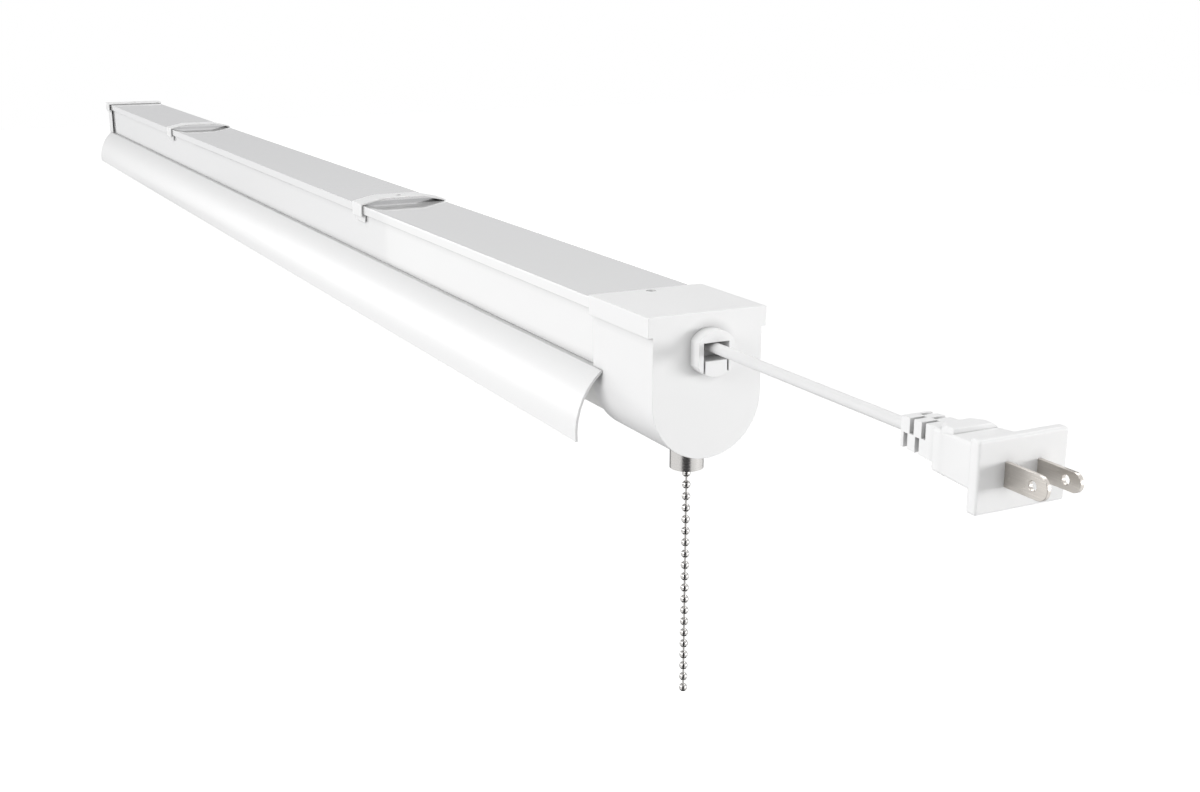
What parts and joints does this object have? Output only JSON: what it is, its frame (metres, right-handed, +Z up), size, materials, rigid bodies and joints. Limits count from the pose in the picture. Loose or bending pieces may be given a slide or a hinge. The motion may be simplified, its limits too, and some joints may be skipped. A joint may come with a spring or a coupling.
{
  "type": "hanging shop light",
  "caption": "Slim white hanging shop light with curved side reflectors, a round frosted lens, clip-on hangers, a power cord with plug and a pull-chain switch.",
  "frame": {"origin": "midway between the hanging holes of the two hanger clips, on the clips' top face", "axes": "X along the light towards the end where the cord comes out, Y across it, Z up"},
  "size_m": [1.4199, 0.0772, 0.1753],
  "materials": {
    "white_enamel": "gloss white enamel on sheet steel",
    "moulded_white": "satin white moulded plastic",
    "frosted_lens": "frosted white diffuser",
    "zinc_steel": "zinc-plated steel",
    "bright_nickel": "polished nickel plate",
    "blade_nickel": "nickel-plated blades",
    "lamp_board": "white solder mask",
    "lamp_chip": "yellow phosphor over the chips",
    "green_board": "green solder mask",
    "black_plastic": "black moulded plastic",
    "cord_white": "soft white cord jacket",
    "plug_white": "soft white moulded plug",
    "wire_jacket": "insulated wire"
  },
  "bodies": {
    "light": {"top_cover": "white_enamel", "housing_channel": "white_enamel", "lens_rail": "zinc_steel", "led_board": "lamp_board", "led_chips": "lamp_chip", "lens": "frosted_lens", "left_reflector": "white_enamel", "right_reflector": "white_enamel", "cord_end_cap": "moulded_white", "far_end_cap": "moulded_white", "cap_screws": "white_enamel", "board_screws": "zinc_steel", "driver_case": "zinc_steel", "driver_lid": "zinc_steel", "driver_board": "green_board", "driver_parts": "black_plastic", "strain_relief_bushing": "moulded_white", "strain_relief_wedge": "moulded_white", "power_cord": "cord_white", "plug_body": "plug_white", "wide_blade": "blade_nickel", "narrow_blade": "blade_nickel", "supply_wires": "wire_jacket", "lamp_wires": "wire_jacket", "switch_body": "black_plastic", "switch_bushing": "bright_nickel", "switch_nut": "bright_nickel", "switch_spring": "zinc_steel"},
    "near_hanger": {"near_clip": "white_enamel"},
    "far_hanger": {"far_clip": "white_enamel"},
    "plunger": {"switch_plunger": "zinc_steel"},
    "pivot_ball": {"chain_pivot_ball": "bright_nickel"},
    "hanging_chain": {"pull_chain": "bright_nickel"}
  },
  "joints": [
    {"name": "near_clip_slide", "type": "slide", "parent": "light", "child": "near_hanger", "axis": [1, 0, 0], "range_m": [-0.15, 0.15]},
    {"name": "far_clip_slide", "type": "slide", "parent": "light", "child": "far_hanger", "axis": [1, 0, 0], "range_m": [-0.15, 0.15]},
    {"name": "switch_pull", "type": "slide", "parent": "light", "child": "plunger", "axis": [0, 0, -1], "range_m": [0, 0.007], "stiffness_N_per_m": 800, "springref_m": -0.004, "deforming": ["switch_spring"]},
    {"name": "chain_swing_along", "type": "hinge", "parent": "plunger", "child": "pivot_ball", "pos_m": [0.6167, 0, -0.0695], "axis": [0, 1, 0], "range_deg": [-25, 25]},
    {"name": "chain_swing_across", "type": "hinge", "parent": "pivot_ball", "child": "hanging_chain", "pos_m": [0.6167, 0, -0.0695], "axis": [1, 0, 0], "range_deg": [-25, 25]}
  ]
}
